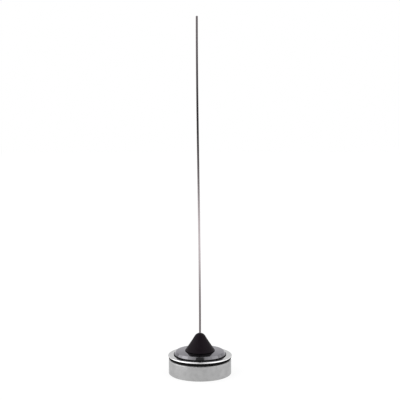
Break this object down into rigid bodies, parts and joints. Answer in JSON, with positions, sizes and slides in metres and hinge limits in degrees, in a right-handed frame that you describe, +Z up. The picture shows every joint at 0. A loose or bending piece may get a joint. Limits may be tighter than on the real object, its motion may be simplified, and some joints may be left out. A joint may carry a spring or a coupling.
{
  "type": "mobile radio antenna",
  "caption": "Quarter-wave whip antenna for a vehicle roof: thin steel whip in a black cone on a round screw-on base with a threaded socket and a sprung centre contact.",
  "frame": {"origin": "centre of the base's lower rim, on the face that meets the roof", "axes": "+Z up along the antenna's axis towards the whip's tip; the whip leans 1.9 mm towards -X; -Y faces the camera of the picture"},
  "size_m": [0.0388, 0.0388, 0.2153],
  "materials": {
    "satin_nickel": "satin nickel plate",
    "polished_chrome": "polished",
    "grey_metal": "polished, grey",
    "black_plastic": "moulded, fine matt grain",
    "black_rubber": "matt",
    "whip_steel": "dark drawn stainless steel",
    "brass": "machined",
    "zinc_steel": "zinc plated",
    "nylon": "natural nylon"
  },
  "bodies": {
    "antenna": {"base_shell": "satin_nickel", "rim_gasket": "black_rubber", "body_gasket": "black_rubber", "trim_ring": "polished_chrome", "trim_seal": "black_rubber", "top_cap": "grey_metal", "cone_insulator": "black_plastic", "cone_seal": "black_rubber", "whip": "whip_steel", "whip_stud": "brass", "insulating_washer": "nylon", "flat_washer": "zinc_steel", "lock_washer": "zinc_steel", "stud_nut": "zinc_steel", "insulator_disc": "nylon", "contact_retainer": "brass", "contact_spring": "zinc_steel"},
    "contact": {"contact_plunger": "brass"}
  },
  "joints": [
    {"name": "contact_slide", "type": "slide", "parent": "antenna", "child": "contact", "axis": [0, 0, 1], "range_m": [0, 0.0015], "stiffness_N_per_m": 500, "deforming": ["contact_spring"]}
  ]
}
